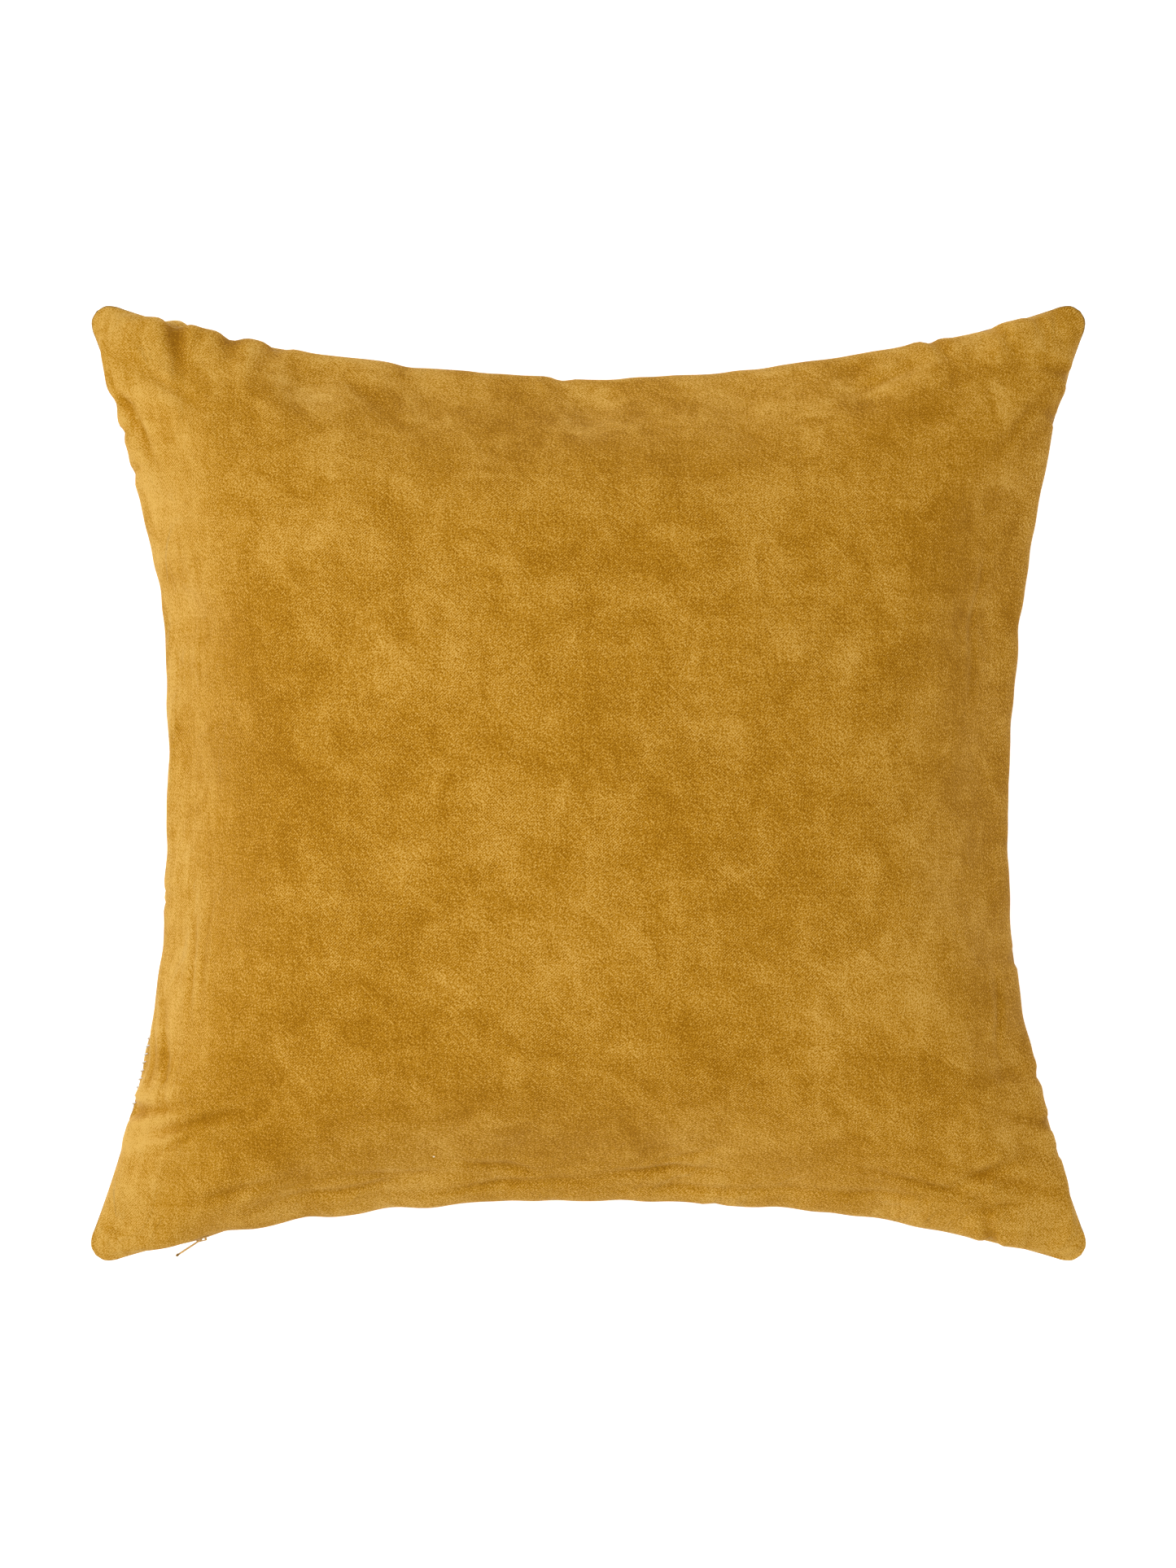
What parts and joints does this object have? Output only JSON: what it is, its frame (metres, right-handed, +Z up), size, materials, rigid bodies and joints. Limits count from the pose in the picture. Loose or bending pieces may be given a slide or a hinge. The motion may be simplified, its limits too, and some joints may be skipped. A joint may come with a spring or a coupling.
{
  "type": "throw pillow",
  "caption": "Square zipped velvet throw pillow with bowed-in seams, a pointed tip at each corner, a running zip slider with a swinging pull tab, and a filled ticking insert inside.",
  "frame": {"origin": "on the floor under the middle of the pillow, which lies flat on its back panel", "axes": "+Z up through the front panel's crown; the zip seam is towards -Y; +X to the right seen from above with the zip edge nearest"},
  "size_m": [0.4894, 0.4697, 0.176],
  "materials": {
    "velvet": "washed cotton velvet, mustard ochre, soft crushed pile",
    "cover_thread": "matching polyester sewing thread",
    "zip_tape": "woven polyester tape, herringbone",
    "zip_coil": "nylon coil, satin",
    "zip_metal": "mustard lacquer on a small zinc casting, worn bright on the edges",
    "ticking": "plain-weave cotton ticking, undyed white",
    "filling": "hollow polyester fibre, lofty",
    "insert_thread": "white polyester sewing thread",
    "label_ribbon": "blank satin ribbon"
  },
  "bodies": {
    "cover": {"cover_front_panel": "velvet", "cover_back_panel": "velvet", "cover_needle_thread": "cover_thread", "cover_bobbin_thread": "cover_thread", "cover_overlock_thread": "cover_thread", "zip_tape_front": "zip_tape", "zip_tape_back": "zip_tape", "zip_coil_front": "zip_coil", "zip_coil_back": "zip_coil", "zip_top_stop": "zip_coil", "zip_bottom_stop": "zip_coil", "zip_thread_front": "cover_thread", "zip_thread_back": "cover_thread", "zip_bar_tacks": "cover_thread", "insert_front_panel": "ticking", "insert_back_panel": "ticking", "insert_filling": "filling", "insert_seam_thread": "insert_thread", "insert_closing_stitches": "insert_thread", "care_label": "label_ribbon"},
    "zip_slider": {"zip_slider_body": "zip_metal"},
    "zip_pull": {"zip_pull_tab": "zip_metal"}
  },
  "joints": [
    {"name": "zip_slider_travel", "type": "hinge", "parent": "cover", "child": "zip_slider", "pos_m": [0, -1.00801, 0.08], "axis": [0, 0, -1], "range_deg": [0, 27.29]},
    {"name": "pull_tab_swing", "type": "hinge", "parent": "zip_slider", "child": "zip_pull", "pos_m": [-0.19017, -0.22465, 0.08], "axis": [0, 0, 1], "range_deg": [-11.4, 152.6]}
  ]
}
